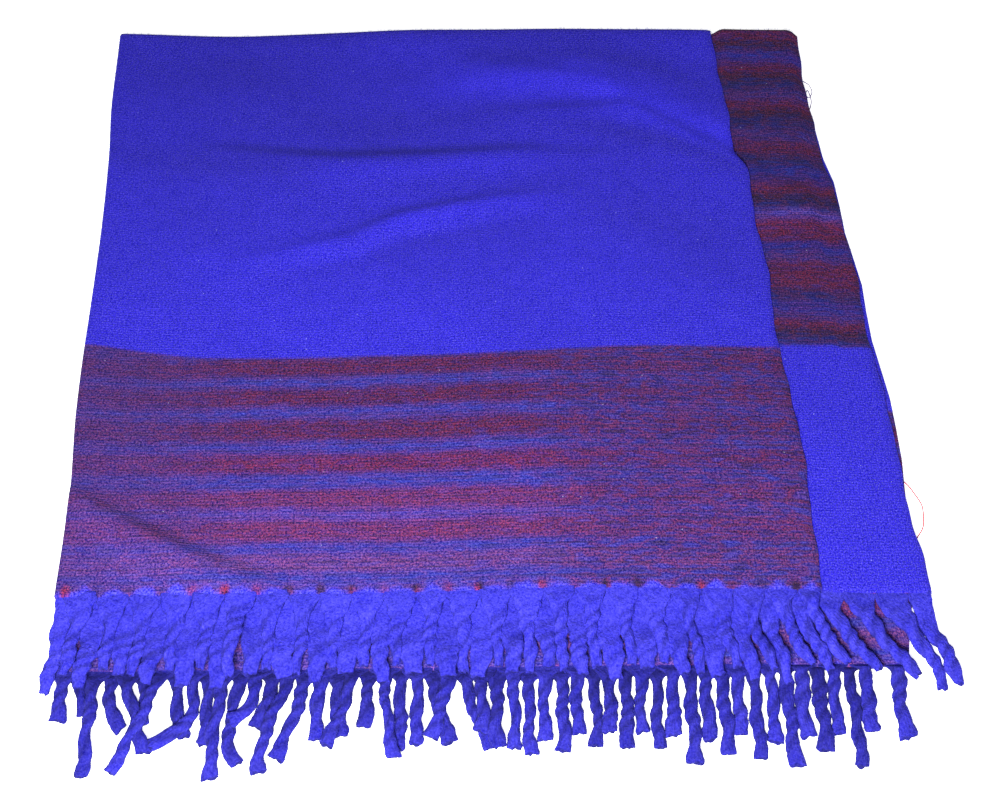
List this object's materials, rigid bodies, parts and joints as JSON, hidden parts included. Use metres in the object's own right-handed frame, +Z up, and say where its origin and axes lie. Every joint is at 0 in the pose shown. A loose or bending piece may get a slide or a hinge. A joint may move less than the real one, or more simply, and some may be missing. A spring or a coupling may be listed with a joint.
{
  "type": "folded wool blanket",
  "caption": "Brushed wool blanket, plain on its front and striped on its back, with striped end bands and twisted fringe, folded flat.",
  "frame": {"origin": "on the floor, under the middle of the folded blanket and its fringe", "axes": "+Z up from the floor, +Y from the fringed ends to the far fold, +X from the folded left side to the open right side"},
  "size_m": [0.6808, 0.7232, 0.0225],
  "materials": {
    "blanket_wool": "brushed wool cloth, royal blue on its front with weft-striped bands of dark red, purple and navy at its ends, the reverse on its back",
    "fringe_wool": "soft two-ply twisted wool strands, royal blue"
  },
  "bodies": {
    "root": {"blanket_cloth": "blanket_wool", "upper_fringe": "fringe_wool", "lower_fringe": "fringe_wool"}
  },
  "joints": []
}
